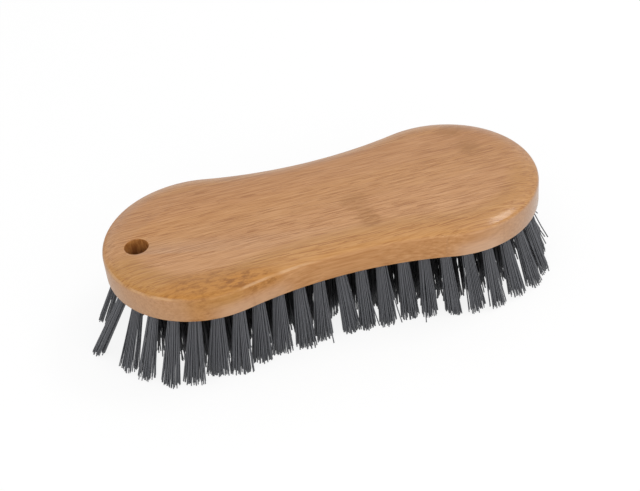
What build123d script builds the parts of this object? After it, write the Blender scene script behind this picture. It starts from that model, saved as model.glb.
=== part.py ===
from build123d import *
import os
from math import atan2, degrees, radians, tan

os.makedirs("parts", exist_ok=True)

# Scrub brush: one waisted bamboo block, drilled from below and filled with tufts of coarse
# plastic filament. Each tuft is a bundle folded in two over a flat wire anchor, which is driven
# into the blind hole with it and holds it there. Nothing on the brush is jointed.
# The origin lies under the middle of the block, on the surface that the bristle tips stand on.
# +X runs along the block away from the hanging hole, and +Z points out of the block's top.

# Block
block_length = 190.0
block_end_width = 82.0
block_waist_width = 68.0
block_side_height = 11.4
shoulder_run = 9.4
shoulder_drop = 2.6
ridge_easing = 0.9
foot_easing = 0.8

# Hanging hole, drilled through near the left end
hanging_hole_diameter = 10.0
hanging_hole_from_end = 14.5
hanging_hole_easing = 0.5

# Tuft holes, drilled blind from below and drawn with a few sides
tuft_hole_diameter = 4.4
tuft_hole_depth = 9.0
tuft_hole_sides = 6
wall_to_hanging_hole = 1.2

# Rows of tufts, one inside the other: how far the outer one lies in from the block's edge, the
# core one's half width at the waist, and the middle one's share of the way between them.
# Each is evenly spaced, and starts a share of a place past the left end
outer_row_inset = 7.0
core_row_half_width = 5.5
middle_row_share = 0.488
outer_row_count = 48
middle_row_count = 37
core_row_count = 28
outer_row_start = 0.25
middle_row_start = 0.0
core_row_start = 0.5
tufts_in_a_node = 4

# Root of a tuft: it fills the hole, with a leg each side of the anchor and a fold over it
root_clearance = 0.05
fold_thickness = 1.2
anchor_thickness = 0.4
anchor_height = 2.0

# Strands of a tuft: one in each quarter, spread and leaning outwards, and trimmed unevenly. Along
# the block the lean grows from nothing at the middle by the fan's power
bristle_trim = 32.0
strand_radius = 0.85
strand_sides = 3
strand_pitch_along = 1.7
strand_pitch_across = 1.9
tip_spread_share = 3.2
lean_at_sides = 9.0
lean_at_ends = 20.0
fan_power = 3
middle_lean_share = 0.45
core_lean_share = 0.1
uneven_trim = 2.0
uneven_step_share = 0.618
flat_trim = 0.5

# How far a cutter runs past the surface that it cuts
overrun = 5.0

block_thickness = block_side_height + shoulder_drop
end_radius = block_end_width / 2
end_centre = block_length / 2 - end_radius
half_waist = block_waist_width / 2
waist_radius = (end_centre**2 + half_waist**2 - end_radius**2) / (2 * (end_radius - half_waist))
waist_centre = half_waist + waist_radius
join_angle = degrees(atan2(waist_centre, end_centre))
hanging_hole_x = hanging_hole_from_end - block_length / 2
outer_row_end = block_length / 2 - outer_row_inset
core_row_inset = half_waist - core_row_half_width
middle_row_inset = outer_row_inset + middle_row_share * (core_row_inset - outer_row_inset)
root_radius = tuft_hole_diameter / 2 - root_clearance
slit_depth = tuft_hole_depth - fold_thickness


def outline(inset):
    """The block's outline drawn at an inset: five tangent arcs, clockwise from the left end."""
    end_arc, waist_arc = end_radius - inset, waist_radius + inset
    end_turn, waist_turn = 180 - join_angle, 180 - 2 * join_angle
    left, right = (-end_centre, 0), (end_centre, 0)
    far, near = (0, waist_centre), (0, -waist_centre)
    return Wire(
        [
            CenterArc(left, end_arc, 180, -end_turn),
            CenterArc(far, waist_arc, 180 + join_angle, waist_turn),
            CenterArc(right, end_arc, end_turn, -2 * end_turn),
            CenterArc(near, waist_arc, join_angle, waist_turn),
            CenterArc(left, end_arc, -join_angle, -end_turn),
        ]
    )


def edge_cutter():
    """The edge moulding cutter's section, x outwards from the edge and y up from the block's foot.

    It leaves a low crowned shoulder that meets the upright side at a softened ridge.
    """
    shoulder_radius = (shoulder_run**2 + shoulder_drop**2) / (2 * shoulder_drop)
    inner_top, inner_foot = (-shoulder_run, block_thickness), (-shoulder_run, 0)
    ridge, foot = (0, block_side_height), (0, 0)
    rim = make_face(
        Polyline(inner_top, inner_foot, foot, ridge)
        + RadiusArc(ridge, inner_top, -shoulder_radius)
    )
    rim = chamfer(rim.vertices().sort_by_distance(ridge)[0], ridge_easing)
    rim = chamfer(rim.vertices().sort_by_distance(foot)[0], foot_easing)
    blank = Rectangle(shoulder_run + overrun, block_thickness + 2 * overrun)
    return Pos((overrun - shoulder_run) / 2, block_thickness / 2) * blank - rim


def hanging_drill():
    """The through drill, widened at both faces to ease the rims."""
    radius = hanging_hole_diameter / 2
    eased = radius + hanging_hole_easing
    below = [(0, -overrun), (eased + overrun, -overrun), (eased, 0), (radius, hanging_hole_easing)]
    above = [(x, block_thickness - z) for x, z in reversed(below)]
    return revolve(Plane.XZ * make_face(Polyline(below + above, close=True)), Axis.Z)


def tuft_drill():
    """The blind drill, standing on the hole's mouth."""
    section = RegularPolygon(tuft_hole_diameter / 2, tuft_hole_sides)
    return Pos(0, 0, -overrun) * extrude(section, tuft_hole_depth + overrun)


def seat_at(point, along_row):
    """A tuft's seat at its hole's mouth: x along the row, y outwards and z up into the block."""
    return Plane(point, along_row, (0, 0, 1))


def row_seats(inset, count, start):
    """Seats spaced evenly along a row, leaving out those too near the hanging hole."""
    row = Pos(0, 0, bristle_trim) * outline(inset)
    hanging_hole = Vector(hanging_hole_x, 0, bristle_trim)
    reach = (hanging_hole_diameter + tuft_hole_diameter) / 2 + wall_to_hanging_hole
    steps = [(place + start) * row.length / count for place in range(count)]
    spots = [(row.position_at(s, PositionMode.LENGTH), s) for s in steps]
    return [
        seat_at(point, row.tangent_at(s, PositionMode.LENGTH))
        for point, s in spots
        if (point - hanging_hole).length > reach
    ]


def lean_at(seat):
    """How far a tuft leans for its length: across the block, and fanning out towards its ends."""
    across = lean_at_sides + (lean_at_ends - lean_at_sides) * abs(seat.y_dir.X)
    fanned = tan(radians(lean_at_ends)) * (seat.origin.X / outer_row_end) ** fan_power
    return Vector(fanned, tan(radians(across)) * seat.y_dir.Y)


def tuft(seat, number, lean_share):
    """A folded root with its slit for the anchor, and four strands in one fuse."""
    root = extrude(RegularPolygon(root_radius, tuft_hole_sides), tuft_hole_depth)
    slit = Pos(0, 0, slit_depth / 2) * Box(2 * root_radius, anchor_thickness, slit_depth)
    lean = lean_at(seat) * lean_share
    lean_along, lean_out = lean.dot(seat.x_dir), lean.dot(seat.y_dir)
    strands = []
    for corner, (side, leg) in enumerate([(1, 1), (-1, 1), (-1, -1), (1, -1)]):
        # A tip that would reach past the resting surface is trimmed flat on it
        uneven = (number + corner) * uneven_step_share % 1
        length = min(bristle_trim, bristle_trim + flat_trim - uneven * uneven_trim)
        spread = (tip_spread_share - 1) * length / bristle_trim
        beside, across = side * strand_pitch_along / 2, leg * strand_pitch_across / 2
        start = Pos(beside, across) * Rot(0, 0, leg * 90)
        section = start * RegularPolygon(strand_radius, strand_sides)
        along = beside * spread + length * lean_along
        outwards = across * spread + length * lean_out
        strands.append(Solid.extrude(section.face(), Vector(along, outwards, -length)))
    return seat * (root - slit + strands)


def anchor(seat):
    """The flat wire across a tuft, between its legs and hard against its fold."""
    length = 2 * root_radius - anchor_thickness
    middle = slit_depth - anchor_height / 2
    return seat * Pos(0, 0, middle) * Box(length, anchor_thickness, anchor_height)


end_points = [(-end_centre, 0, bristle_trim), (end_centre, 0, bristle_trim)]
rows = {
    "outer": (row_seats(outer_row_inset, outer_row_count, outer_row_start), 1),
    "middle": (row_seats(middle_row_inset, middle_row_count, middle_row_start), middle_lean_share),
    "core": (row_seats(core_row_inset, core_row_count, core_row_start), core_lean_share),
    "centre": ([seat_at(point, (1, 0, 0)) for point in end_points], 0),
}

block = extrude(make_face(outline(0)), block_thickness)
left_end = Plane((-block_length / 2, 0, 0), (-1, 0, 0), (0, 1, 0))
block -= sweep(left_end * edge_cutter(), outline(0))
block -= Pos(hanging_hole_x, 0, 0) * hanging_drill()
block = Pos(0, 0, bristle_trim) * block
block -= [seat * tuft_drill() for seats, lean_share in rows.values() for seat in seats]
export_step(block, "parts/brush_block.step")

for row, (seats, lean_share) in rows.items():
    tufts = [tuft(seat, number, lean_share) for number, seat in enumerate(seats)]
    for first in range(0, len(tufts), tufts_in_a_node):
        group = Compound(tufts[first : first + tufts_in_a_node])
        export_step(group, f"parts/{row}_tufts_{first // tufts_in_a_node + 1:02d}.step")
    export_step(Compound([anchor(seat) for seat in seats]), f"parts/{row}_anchors.step")
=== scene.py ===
from collections import namedtuple
from math import atan2, cos, pi, radians, sin
from random import Random

import bmesh
import bpy
from mathutils import Matrix, Vector


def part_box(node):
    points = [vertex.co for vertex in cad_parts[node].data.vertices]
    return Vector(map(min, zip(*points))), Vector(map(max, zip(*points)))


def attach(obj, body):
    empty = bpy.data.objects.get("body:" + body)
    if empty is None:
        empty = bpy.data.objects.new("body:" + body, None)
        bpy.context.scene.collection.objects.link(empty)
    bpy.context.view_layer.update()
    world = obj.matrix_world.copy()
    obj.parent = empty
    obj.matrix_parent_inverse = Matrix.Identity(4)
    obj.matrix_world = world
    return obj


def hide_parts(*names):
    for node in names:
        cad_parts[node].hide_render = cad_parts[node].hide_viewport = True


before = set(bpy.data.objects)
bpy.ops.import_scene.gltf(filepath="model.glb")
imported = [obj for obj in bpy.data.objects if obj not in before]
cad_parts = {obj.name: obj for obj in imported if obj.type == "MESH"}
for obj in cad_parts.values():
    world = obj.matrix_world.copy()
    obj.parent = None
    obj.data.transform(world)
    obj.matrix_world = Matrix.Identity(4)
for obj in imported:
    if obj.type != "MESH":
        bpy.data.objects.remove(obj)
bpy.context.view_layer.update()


# Camera: a long lens a little above the brush's near side and to the left of it, turned a few
# degrees so that the block climbs to the right. It aims at the middle of the block's underside.
aim = Vector((0, 0, 0.032))
camera_distance = 0.5749
turned, raised, rolled = radians(-12.747), radians(37.788), radians(-5.956)
right = Vector((cos(turned), sin(turned), 0))
forward = Vector((-sin(turned) * cos(raised), cos(turned) * cos(raised), -sin(raised)))
upward = right.cross(forward)
camera = bpy.data.objects.new("camera", bpy.data.cameras.new("camera"))
camera_axes = Matrix(
    (
        right * cos(rolled) + upward * sin(rolled),
        upward * cos(rolled) - right * sin(rolled),
        -forward,
    )
).transposed()
camera.matrix_world = Matrix.Translation(aim - forward * camera_distance) @ camera_axes.to_4x4()
camera.data.sensor_width = 36.0
camera.data.lens = 75.2
camera.data.shift_x = -0.0085
camera.data.shift_y = -0.0285
camera.data.clip_start = 0.01
bpy.context.scene.collection.objects.link(camera)
bpy.context.scene.camera = camera


# Block: one piece of pressed bamboo, sawn to a waisted outline. A moulding cutter has run round
# its top edge, which leaves a low crowned shoulder and a soft ridge, and then it was drilled for
# hanging and for the tufts, sanded and given a thin satin lacquer.
block_low, block_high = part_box("brush_block")
block_foot, block_top = block_low.z, block_high.z
end_radius = block_high.y
end_centre = block_high.x - end_radius
half_waist = 0.034
ridge_height = 0.0114
shoulder_run = 0.0094
ridge_easing, foot_easing = 0.0011, 0.0008
hanging_hole = Vector((-0.0805, 0, 0))
hanging_hole_radius = 0.005
rim_easing = 0.0004
tuft_hole_radius = 0.0022
tuft_hole_depth = 0.009


def shells(mesh):
    """The separate solids of a mesh, each as the list of its corners."""
    solid = bmesh.new()
    solid.from_mesh(mesh)
    bmesh.ops.remove_doubles(solid, verts=solid.verts, dist=0.00001)
    seen = set()
    for start in solid.verts:
        if start in seen:
            continue
        seen.add(start)
        shell = [start]
        for vert in shell:
            for edge in vert.link_edges:
                other = edge.other_vert(vert)
                if other not in seen:
                    seen.add(other)
                    shell.append(other)
        yield [vert.co.copy() for vert in shell]
    solid.free()


def middle_of(points):
    return sum(points, Vector()) / len(points)


def made(solid, name):
    """An object of a finished mesh."""
    mesh = bpy.data.meshes.new(name)
    solid.to_mesh(mesh)
    solid.free()
    piece = bpy.data.objects.new(name, mesh)
    bpy.context.scene.collection.objects.link(piece)
    return piece


def finished(solid, name, material):
    """A piece of the brush: it rides on it, and takes the finish that it is given."""
    piece = made(solid, name)
    piece.data.materials.append(material)
    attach(piece, "root")
    return piece


class Lead:
    """A socket of a material. Arithmetic on it adds the Math nodes that it stands for."""

    def __init__(self, tree, socket=None):
        self.tree, self.socket = tree, socket

    def node(self, kind, settings=None, values=None, output=0):
        """Adds a node: first its settings, then the values or links of its sockets."""
        made = self.tree.nodes.new("ShaderNode" + kind)
        for name, value in (settings or {}).items():
            if name == "stops":
                stops = made.color_ramp.elements
                stops.remove(stops[1])
                stops[0].position, stops[0].color = value[0]
                for position, colour in value[1:]:
                    stops.new(position).color = colour
            else:
                setattr(made, name, value)
        for name, value in (values or {}).items():
            if isinstance(value, Lead):
                self.tree.links.new(value.socket, made.inputs[name])
            else:
                made.inputs[name].default_value = value
        return Lead(self.tree, made.outputs[output] if made.outputs else None)

    def maths(self, operation, *others):
        values = dict(enumerate((self,) + others))
        return self.node("Math", {"operation": operation}, values)

    def __add__(self, other):
        return self.maths("ADD", other)

    def __mul__(self, other):
        return self.maths("MULTIPLY", other)

    def __sub__(self, other):
        return self.maths("SUBTRACT", other)

    def __truediv__(self, other):
        return self.maths("DIVIDE", other)

    def __rsub__(self, other):
        return self * -1 + other

    __radd__, __rmul__ = __add__, __mul__

    def between(self, low, high):
        """0 below low and 1 above high, with a soft step between. High may be the lower one."""
        span = {"From Min": low, "From Max": high, "Value": self}
        return self.node("MapRange", {"interpolation_type": "SMOOTHSTEP"}, span)

    def tint(self, under, over):
        """One colour over another, by this factor."""
        return self.node("Mix", {"data_type": "RGBA"}, {0: self, 6: under, 7: over}, 2)

    def noise(self, scale, detail=2.0, rough=0.5):
        """Noise at this place, scaled in each direction."""
        place = self.node("VectorMath", {"operation": "MULTIPLY"}, {0: self, 1: scale})
        values = {"Vector": place, "Scale": 1.0, "Detail": detail, "Roughness": rough}
        return self.node("TexNoise", {}, values)

    def parts(self):
        """The three parts of this place."""
        return [self.node("SeparateXYZ", {}, {0: self}, axis) for axis in range(3)]


def new_material(name):
    """An empty material, with the Object coordinates."""
    material = bpy.data.materials.new(name)
    material.use_nodes = True
    tree = material.node_tree
    tree.nodes.clear()
    return material, Lead(tree).node("TexCoord", output=3)


def surface(lead, **values):
    """Ends a material in one Principled shader."""
    values = {name.replace("_", " "): value for name, value in values.items()}
    shader = lead.node("BsdfPrincipled", {}, values)
    lead.node("OutputMaterial", {}, {"Surface": shader})


def opaque(red, green, blue):
    return (red, green, blue, 1.0)


waist_radius = (end_centre**2 + half_waist**2 - end_radius**2) / (2 * (end_radius - half_waist))
waist_centre = half_waist + waist_radius


def inset_from_edge(x, y):
    """How far in from the sawn outline a place lies: from the waist's arc or from the end's."""
    from_end, from_waist = x.maths("ABSOLUTE") - end_centre, waist_centre - y.maths("ABSOLUTE")
    end_inset = end_radius - (from_end * from_end + y * y).maths("SQRT")
    waist_inset = (x * x + from_waist * from_waist).maths("SQRT") - waist_radius
    at_end = from_end + y.maths("ABSOLUTE") * (end_centre / waist_centre)
    return waist_inset + at_end.maths("GREATER_THAN", 0) * (end_inset - waist_inset)


bamboo, place = new_material("lacquered_bamboo")
x, y, z = place.parts()
inset = inset_from_edge(x, y)
near = y.between(0.004, -0.012)
# This is 1 on the upright side and 0 on the top and the shoulder
on_side = z.between(block_foot + 0.0118, block_foot + 0.0105)

# The fibres wander a little along the board
wander = (place.noise((16, 34, 20), 1.0) - 0.5) * 0.0016
drift = place.node("CombineXYZ", {}, {"Y": wander})
grain = place.node("VectorMath", {"operation": "ADD"}, {0: place, 1: drift})
across = y + wander
# The board is pressed from strips about 17 mm wide, each with a tone of its own
strip_width, first_joint = 0.0172, -0.0045
strip = (across - first_joint) / strip_width
strip_number = strip.maths("FLOOR")
strip_tone = strip.node("TexWhiteNoise", {"noise_dimensions": "1D"}, {"W": strip_number}, 0)
strip_shift = place.node("CombineXYZ", {}, {"X": strip_number * 0.37, "Y": strip_number * 1.7})
in_strip = place.node("VectorMath", {"operation": "ADD"}, {0: grain, 1: strip_shift})
joint = (strip - strip_number - 0.5).maths("ABSOLUTE").between(0.485, 0.5)
# Fibres: broad soft bands, then streaks, then hair lines
bands = in_strip.noise((9, 260, 120), 2.0)
streaks = in_strip.noise((34, 900, 500), 3.0, 0.6)
hairs = in_strip.noise((70, 1500, 1000), 2.0, 0.6)
# Vessels show as short dark dashes, thick in some rows along the grain and rare in others
dash_rows = in_strip.noise((7, 330, 200), 1.0).between(0.25, 0.65)
dashes = in_strip.noise((110, 2300, 1300), 2.0, 0.55).between(0.55, 0.59) * dash_rows
dashes = dashes * 0.75 + in_strip.noise((34, 1700, 1000), 1.0).between(0.60, 0.64) * 0.5
dashes = dashes * (1 - on_side * 0.75)
# Knuckles, where the stem's joints were: flecked brown patches across a strip, with ragged ends
ragged = place.noise((60, 500, 200), 2.0) - 0.5
flecks = place.noise((190, 800, 600), 3.0, 0.65).between(0.47, 0.62)
golden_flecks = place.noise((230, 640, 480), 3.0, 0.7).between(0.40, 0.70)


def knuckle(middle_x, middle_y, reach_x, reach_y):
    """1 in a knuckle's middle, fading out to its reach along and across the grain."""
    run = (x + ragged * 0.012 - middle_x) / reach_x
    rise = (y - middle_y) / reach_y
    return (run * run + rise * rise).between(1.0, 0.1)


knuckles = knuckle(0.0125, -0.006, 0.008, 0.008) + knuckle(0.0145, -0.018, 0.007, 0.009)
knuckles = knuckles + knuckle(0.069, 0.029, 0.009, 0.007) + knuckle(0.071, 0.013, 0.007, 0.009)
knuckles = knuckles + knuckle(-0.030, 0.040, 0.010, 0.012)
golden_knuckle = knuckle(-0.061, -0.034, 0.024, 0.010) + knuckle(-0.040, -0.036, 0.014, 0.005)
# It ends on the side a little below the ridge and towards the left end
low_side = on_side * z.between(block_foot + 0.010, block_foot + 0.006)
golden_knuckle = golden_knuckle * (1 - low_side * x.between(-0.065, -0.05) * 0.8)
golden_knuckle = golden_knuckle * (1 - on_side * x.between(-0.062, -0.072) * 0.8)

tone = (bands - 0.5) * 0.2 + (streaks - 0.5) * 0.2 + (hairs - 0.5) * 1.25
tone = tone + (strip_tone - 0.5) * 0.10 + 0.5
# Painted shade: the top is drawn a little darker towards its far edge and its right end, where less
# light falls
tone_with_painted_shade = tone + (0.06 - y * 7 - x.between(0.045, 0.08) * 0.15) * (1 - on_side)
stops = [
    (0.15, opaque(0.395, 0.170, 0.052)),
    (0.5, opaque(0.49, 0.236, 0.091)),
    (0.85, opaque(0.58, 0.304, 0.134)),
]
golden_stops = [
    (0.15, opaque(0.35, 0.141, 0.026)),
    (0.5, opaque(0.43, 0.200, 0.047)),
    (0.85, opaque(0.51, 0.260, 0.082)),
]
wood = place.node("ValToRGB", {"stops": stops}, {"Fac": tone_with_painted_shade})
golden_wood = place.node("ValToRGB", {"stops": golden_stops}, {"Fac": tone + 0.12})
# Painted shade: along the near shoulder, which slopes away from the lamps' sheen, the wood is drawn
# yellower and darker, reaching down the side near the left end. One more strip or two are golden by
# their own tone
golden_side = x.between(-0.074, -0.064) * x.between(-0.04, -0.05)
golden_side = golden_side * z.between(block_foot + 0.002, block_foot + 0.009)
painted_shoulder_shade = inset.between(0.017, 0.009) * near * (1 - on_side * (0.75 - golden_side * 0.75))
painted_shoulder_shade = painted_shoulder_shade * (1 - x.between(-0.045, -0.02) * 0.3)
wood = painted_shoulder_shade.maths("MAXIMUM", strip_tone * 0.4).tint(wood, golden_wood)
wood = dashes.maths("MINIMUM", 0.85).tint(wood, opaque(0.30, 0.112, 0.026))
# The side cuts across the fibres at the ends, where it is paler and greyer
end_grain = on_side * x.maths("ABSOLUTE").between(0.045, 0.075)
wood = (end_grain * 0.28).tint(wood, opaque(0.48, 0.34, 0.25))
# It is pinker low down on both sides of the waist, and round the right end the side is drawn darker, a
# painted shade
pink = x.between(-0.065, -0.05) * x.between(-0.02, -0.035)
pink = pink + x.between(0.04, 0.05) * x.between(0.07, 0.06)
pink = pink * on_side * z.between(block_foot + 0.009, block_foot + 0.003)
wood = (pink * 0.45).tint(wood, opaque(0.64, 0.42, 0.29))
# Painted shade on the side round the right end
wood = (on_side * x.between(0.065, 0.09) * 0.35).tint(wood, opaque(0.30, 0.17, 0.09))
wood = (joint * 0.15).tint(wood, opaque(0.30, 0.14, 0.06))
wood = (knuckles * 0.4 + knuckles * flecks * 0.6).tint(wood, opaque(0.33, 0.138, 0.032))
wood = (golden_knuckle * 0.7).tint(wood, opaque(0.46, 0.195, 0.034))
wood = (golden_knuckle * golden_flecks * 0.95).tint(wood, opaque(0.27, 0.10, 0.014))
# Painted highlight: a pale glint line along the near ridge, on each side of the golden knuckle
painted_ridge_glint = inset.between(0.0011, 0.0006) * z.between(block_foot + 0.0108, block_foot + 0.0112)
ridge_glint_ends = x.between(-0.066, -0.073) + x.between(-0.050, -0.043) * x.between(-0.010, -0.022)
painted_ridge_glint = painted_ridge_glint * near * ridge_glint_ends * place.noise((110, 110, 110), 1.0).between(0.3, 0.5)
wood = (painted_ridge_glint * 0.45).tint(wood, opaque(0.64, 0.40, 0.22))
# The hanging hole's wall is bare wood, cut across its fibres
from_hole = x - hanging_hole.x
in_hole = (from_hole * from_hole + y * y).maths("SQRT").between(
    hanging_hole_radius + 0.00025, hanging_hole_radius + 0.00005
)
torn = place.noise((900, 900, 250), 2.0).between(0.35, 0.65)
bare_wood = torn.tint(opaque(0.25, 0.085, 0.012), opaque(0.42, 0.175, 0.040))
wood = (in_hole * 0.95).tint(wood, bare_wood)
# Near the ridge the lacquer has worn thin, but for the right end
lacquer = 0.4 - inset.between(0.003, 0.0015) * x.between(0.055, 0.045) * 0.35
bump_height = streaks * 0.6 + hairs * 0.4 - dashes * 0.5
surface(
    place,
    Base_Color=wood,
    Roughness=0.42 - (tone - 0.5) * 0.1 + in_hole * 0.35,
    Coat_Weight=lacquer,
    Coat_Roughness=0.15,
    Specular_IOR_Level=0.35,
    Normal=place.node("Bump", {}, {"Strength": 0.25, "Distance": 0.0002, "Height": bump_height}),
)

join_angle = atan2(waist_centre, end_centre)
shoulder_drop = block_top - block_foot - ridge_height
shoulder_radius = (shoulder_run**2 + shoulder_drop**2) / (2 * shoulder_drop)
shoulder_turn = 2 * atan2(shoulder_drop, shoulder_run)

# The rim's section stands at the left end, where y is 0. Its shoulder is spun about the crown's own
# axis, and the whole section is then spun round the outline's five arcs
crown_steps, inward_lip, drill_overrun = 8, 0.001, 0.002
solid = bmesh.new()
inner = Vector((shoulder_run - end_radius - end_centre, 0, block_top))
crown_end = solid.verts.new(inner)
crown_axis = inner - Vector((0, 0, shoulder_radius))
crown = bmesh.ops.spin(
    solid,
    geom=[crown_end],
    cent=crown_axis,
    axis=(0, 1, 0),
    angle=-shoulder_turn,
    steps=crown_steps,
)
ridge = crown["geom_last"][0]
corners = [
    ridge,
    solid.verts.new((-end_radius - end_centre, 0, block_foot)),
    solid.verts.new((inner.x, 0, block_foot)),
]
for corner, following in zip(corners, corners[1:]):
    solid.edges.new((corner, following))
solid.edges.new((solid.verts.new(inner + Vector((inward_lip, 0, 0))), crown_end))
turns = [
    ((-end_centre, 0, 0), join_angle - pi, 30),
    ((0, waist_centre, 0), pi - 2 * join_angle, 18),
    ((end_centre, 0, 0), 2 * (join_angle - pi), 60),
    ((0, -waist_centre, 0), pi - 2 * join_angle, 18),
    ((-end_centre, 0, 0), join_angle - pi, 30),
]
section = solid.verts[:] + solid.edges[:]
for centre, turn, steps in turns:
    spun = bmesh.ops.spin(
        solid, geom=section, cent=centre, axis=(0, 0, 1), angle=turn, steps=steps
    )
    section = spun["geom_last"]
bmesh.ops.remove_doubles(solid, verts=solid.verts, dist=0.00001)

# The top and the underside are closed, and the ridge and the foot are eased
bmesh.ops.holes_fill(solid, edges=[edge for edge in solid.edges if edge.is_boundary])
bmesh.ops.recalc_face_normals(solid, faces=solid.faces)
for height, easing, segments in ((ridge_height, ridge_easing, 4), (0, foot_easing, 3)):
    level = block_foot + height
    bmesh.ops.bevel(
        solid,
        geom=[
            edge
            for edge in solid.edges
            if all(abs(vert.co.z - level) < 0.00001 for vert in edge.verts)
            and edge.calc_face_angle() > 0.5
        ],
        affect="EDGES",
        offset=easing,
        segments=segments,
        profile=0.5,
        material=-1,
    )

# The hanging drill goes right through and widens at both faces, which eases the hole's rims
drill = bmesh.new()
half_way = (block_foot + block_top) / 2
half_reach = (block_top - block_foot) / 2
drill_facets = 48
section = []
for radius, height in (
    (0, half_reach + drill_overrun),
    (hanging_hole_radius + rim_easing + drill_overrun, half_reach + drill_overrun),
    (hanging_hole_radius + rim_easing, half_reach),
    (hanging_hole_radius + rim_easing * 0.3, half_reach - rim_easing * 0.3),
    (hanging_hole_radius, half_reach - rim_easing),
):
    section.append(drill.verts.new(hanging_hole + Vector((radius, 0, half_way + height))))
section += [drill.verts.new((v.co.x, 0, 2 * half_way - v.co.z)) for v in section[::-1]]
edges = [drill.edges.new(pair) for pair in zip(section, section[1:])]
bmesh.ops.spin(
    drill,
    geom=section + edges,
    cent=hanging_hole,
    axis=(0, 0, 1),
    angle=2 * pi,
    steps=drill_facets,
    use_merge=True,
)
bmesh.ops.remove_doubles(drill, verts=drill.verts, dist=0.00001)
# Its facets are turned half a step, so that none of their edges runs along the rim's own
half_step = Matrix.Rotation(pi / drill_facets, 3, "Z")
bmesh.ops.rotate(drill, verts=drill.verts, cent=hanging_hole, matrix=half_step)

# The tuft holes are drilled blind from below, where the frame has the tufts' roots
tufts = {}
for name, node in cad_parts.items():
    if "_tufts_" not in name:
        continue
    tufts[name] = []
    for shell in shells(node.data):
        hole_end = max(point.z for point in shell)
        root = middle_of([point for point in shell if point.z > hole_end - 0.0001])
        tips = middle_of([point for point in shell if point.z < block_foot / 2])
        seat = Vector((root.x, root.y, block_foot))
        tufts[name].append((seat, tips - seat))
for seat, _ in sum(tufts.values(), []):
    bmesh.ops.create_cone(
        drill,
        cap_ends=True,
        segments=14,
        radius1=tuft_hole_radius,
        radius2=tuft_hole_radius,
        depth=2 * tuft_hole_depth,
        matrix=Matrix.Translation(seat),
    )
bmesh.ops.recalc_face_normals(drill, faces=drill.faces)

drills = made(drill, "drills")
blank = made(solid, "blank")
drilling = blank.modifiers.new("drilling", "BOOLEAN")
drilling.operation, drilling.solver, drilling.object = "DIFFERENCE", "EXACT", drills
drilled = bpy.data.meshes.new_from_object(
    blank.evaluated_get(bpy.context.evaluated_depsgraph_get())
)
for spent in (drills, blank):
    bpy.data.objects.remove(spent)
solid = bmesh.new()
solid.from_mesh(drilled)
# It is shaded smooth but for its sharper edges
for face in solid.faces:
    face.smooth = True
for edge in solid.edges:
    edge.smooth = len(edge.link_faces) == 2 and edge.calc_face_angle() < radians(28)
block = finished(solid, "bamboo_block", bamboo)
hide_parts("brush_block")


# Tufts: bundles of coarse dark grey plastic filament. Each filament is folded in two over the
# anchor in the top of its hole, comes out straight, and spreads and leans outwards towards its
# trimmed tip, a little unevenly.
chance = Random(5)
filament_radius = 0.00023
filament_pitch = 0.00047
leg_off_anchor = 0.00044
leg_rows = 4
leg_top_height, fold_height = 0.0076, 0.0079
shares_of_leg = (0.0, 0.25, 0.55, 0.8, 1.0)
# Along a filament's path lie the fold and, in each leg, its top and those shares of its length
stations = 1 + 2 * (1 + len(shares_of_leg))

# A spread is how much wider a tuft is at its tips than at its root, from the least to the most.
# Bushing is below 1 where a tuft widens early. Restless is how far its tips stray, in metres.
# Thickness is how many times as thick as filament_radius makes them its filaments are drawn
Look = namedtuple("Look", "spread_along spread_out bushing restless thickness")
outer_look = Look((1.45, 2.2), (1.3, 1.8), 1.0, 0.00025, 1.12)
# The inner tufts have bushed out and fill the room between the rows
inner_look = Look((3.0, 3.4), (2.4, 3.0), 0.45, 0.0013, 1.5)

filament, place = new_material("black_filament")
x, y, z = place.parts()
shade = place.noise((900, 900, 30), 2.0)
grey = shade.tint(opaque(0.092, 0.094, 0.103), opaque(0.122, 0.125, 0.136))
# Painted shade: near the block the inner rows, where shade falls between the tufts, are drawn darker
# and duller
painted_deep_shade = inset_from_edge(x, y).between(0.0095, 0.0125) * z.between(0.003, 0.014)
surface(
    place,
    Base_Color=(painted_deep_shade * 0.94).tint(grey, opaque(0.005, 0.005, 0.006)),
    Roughness=0.42 + shade * 0.1 + painted_deep_shade * 0.4,
    Specular_IOR_Level=0.45,
)

rod = bmesh.new()
bmesh.ops.create_circle(rod, cap_ends=True, segments=4, radius=filament_radius)
for station in range(1, stations):
    end = max(rod.faces, key=lambda face: face.calc_center_median().z)
    grown = bmesh.ops.extrude_face_region(rod, geom=[end])["geom"]
    grown_verts = [v for v in grown if isinstance(v, bmesh.types.BMVert)]
    bmesh.ops.translate(rod, verts=grown_verts, vec=(0, 0, 1))
    if station > 1:
        bmesh.ops.delete(rod, geom=[end], context="FACES_ONLY")
bmesh.ops.recalc_face_normals(rod, faces=rod.faces)
straight = bpy.data.meshes.new("straight_filament")
rod.to_mesh(straight)
rod.free()

legs = []
for row in range(leg_rows):
    off = leg_off_anchor + row * filament_pitch * 0.866
    count = int(2 * ((tuft_hole_radius - filament_radius) ** 2 - off**2) ** 0.5 / filament_pitch)
    count -= (count + row) % 2
    legs += [((spot - count / 2) * filament_pitch, off) for spot in range(count + 1)]

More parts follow.
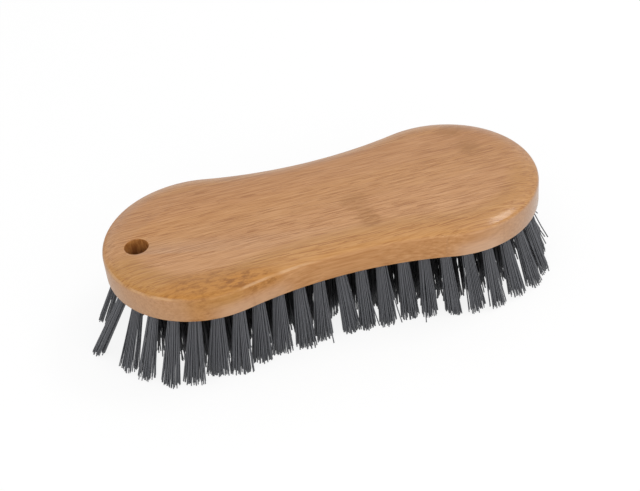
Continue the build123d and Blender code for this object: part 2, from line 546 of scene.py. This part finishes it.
for name, seated in tufts.items():
    bundle = bmesh.new()
    for seat, reach in seated:
        out = Vector((reach.x, reach.y, 0))
        lean = out / -reach.z
        out = out.normalized() if out.length > 0.0004 else Vector((0, 1, 0))
        along = Vector((out.y, -out.x, 0))
        lean += along * chance.gauss(0, 0.025) + out * chance.gauss(0, 0.02)
        outer = name.startswith("outer")
        look = outer_look if outer else inner_look
        spread_along, spread_out = chance.uniform(*look.spread_along), chance.uniform(*look.spread_out)
        restless = look.restless
        # On the near side, left of the waist, the tufts have been pushed to the left and splayed
        pushed = max(0, 1 - abs(seat.x + 0.058) / 0.05) if outer and seat.y < 0 else 0
        lean.x -= 0.085 * pushed
        spread_along += 0.75 * pushed
        # The last ones at the right end stand steeper
        steeper = max(0, seat.x - 0.066) / 0.022 if outer else 0
        lean.x -= 0.1 * steeper
        trim, slant = chance.uniform(0.0, 0.0009), chance.gauss(0, 0.2)
        # The two tufts that stand beside the hanging hole splay into the room that it leaves
        if (seat - hanging_hole).xy.length < 0.0135 and seat.x < hanging_hole.x:
            lean += Vector((-0.25, 0.06, 0)) if seat.y < 0 else Vector((-0.12, 0, 0))
            spread_along, slant = (1.4, 0) if seat.y < 0 else (1.9, 0)
            restless = 0.0001
        for beside, off in legs:
            path = []
            beside += chance.gauss(0, 0.00007)
            off += abs(chance.gauss(0, 0.00006))
            for side in (-1, 1):
                # A stray filament is cut unevenly and stands off. The tightest tufts have none
                stray = chance.random() < 0.05 + 0.06 * steeper and spread_along > 1.5
                uneven = 0.0014 if stray else 0.0005
                tip = max(0, trim + slant * beside) + abs(chance.gauss(0, uneven))
                sway = chance.gauss(0, 0.0014 if stray else restless)
                swing = chance.gauss(0.002 * steeper, 0.0018) if stray else chance.gauss(0, restless)
                run = []
                for share in shares_of_leg:
                    length = share * (seat.z - tip)
                    opened = share**look.bushing
                    run.append(
                        seat
                        + along * (beside * (1 + (spread_along - 1) * opened) + sway * share**2)
                        + out * (side * off * (1 + (spread_out - 1) * opened) + swing * share**2)
                        + lean * length
                        - Vector((0, 0, length))
                    )
                leg_top = seat + along * beside + out * side * off + Vector((0, 0, leg_top_height))
                run.insert(0, leg_top)
                path += run[::-1] if side < 0 else run
                if side < 0:
                    path.append(seat + along * beside + Vector((0, 0, fold_height + off * 0.4)))
            bundle.from_mesh(straight)
            bundle.verts.ensure_lookup_table()
            directions = [
                (path[min(i + 1, stations - 1)] - path[max(i - 1, 0)]).normalized()
                for i in range(stations)
            ]
            for vert in bundle.verts[-4 * stations :]:
                station = round(vert.co.z)
                facing = directions[station].cross(along).normalized()
                side_way = facing.cross(directions[station])
                across = (side_way * vert.co.x + facing * vert.co.y) * look.thickness
                vert.co = path[station] + across
    for face in bundle.faces:
        face.smooth = True
    piece = finished(bundle, "filled_" + name, filament)
    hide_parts(name)


# Anchors: short lengths of flat steel wire, driven crosswise into the holes over the filaments'
# folds. They keep the frame's own solids.
steel, place = new_material("anchor_steel")
drawn = place.noise((400, 400, 3000), 2.0)
surface(
    place,
    Base_Color=drawn.tint(opaque(0.50, 0.50, 0.49), opaque(0.62, 0.62, 0.61)),
    Metallic=1.0,
    Roughness=0.28 + drawn * 0.15,
)
for name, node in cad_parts.items():
    if name.endswith("_anchors"):
        node.data.materials.clear()
        node.data.materials.append(steel)


# Floor and light: a plain white paper floor, lit softly from all round, with a small lamp high over
# the right end and a broad low one in front of the near side. What is seen of the floor and the
# world is paler than what they throw on the brush.
def in_view(lead):
    """1 for what the camera sees, by itself or mirrored in a glossy surface or through a clear one."""
    camera, glossy, clear = (
        lead.node("LightPath", output=ray)
        for ray in ("Is Camera Ray", "Is Glossy Ray", "Is Transmission Ray")
    )
    return camera.maths("MAXIMUM", glossy).maths("MAXIMUM", clear)


floor_solid = bmesh.new()
bmesh.ops.create_grid(floor_solid, x_segments=1, y_segments=1, size=3)
floor = made(floor_solid, "floor")
paper, place = new_material("white_paper")
glow_share, glow_strength, sky_strength = 0.7, 1.22, 0.72
lit = place.node("BsdfDiffuse", {}, {"Color": opaque(0.5, 0.5, 0.5)})
glow = place.node("Emission", {}, {"Color": opaque(1, 1, 1), "Strength": glow_strength})
sheet = place.node("MixShader", {}, {0: in_view(place) * glow_share, 1: lit, 2: glow})
place.node("OutputMaterial", {}, {"Surface": sheet})
floor.data.materials.append(paper)

world = bpy.data.worlds.new("studio")
bpy.context.scene.world = world
world.use_nodes = True
world.node_tree.nodes.clear()
sky = Lead(world.node_tree)
sky_light = in_view(sky) * (1 - sky_strength) + sky_strength
background = sky.node("Background", {}, {"Color": opaque(1, 1, 1), "Strength": sky_light})
sky.node("OutputWorld", {}, {"Surface": background})


def lamp(name, place, size, power):
    """A soft lamp that faces the brush."""
    light = bpy.data.lights.new(name, "AREA")
    light.shape, light.size, light.size_y, light.energy = "RECTANGLE", *size, power
    fixture = bpy.data.objects.new(name, light)
    fixture.location = place
    facing = Vector((0, 0, 0.03)) - Vector(place)
    fixture.rotation_euler = facing.to_track_quat("-Z", "Y").to_euler()
    bpy.context.scene.collection.objects.link(fixture)


lamp("top_lamp", (0.585, 0.06, 0.92), (0.34, 0.24), 2.1)
lamp("near_lamp", (-0.16, -1.05, 0.36), (3.2, 1.4), 15.0)

bpy.context.scene.view_settings.view_transform = "Standard"
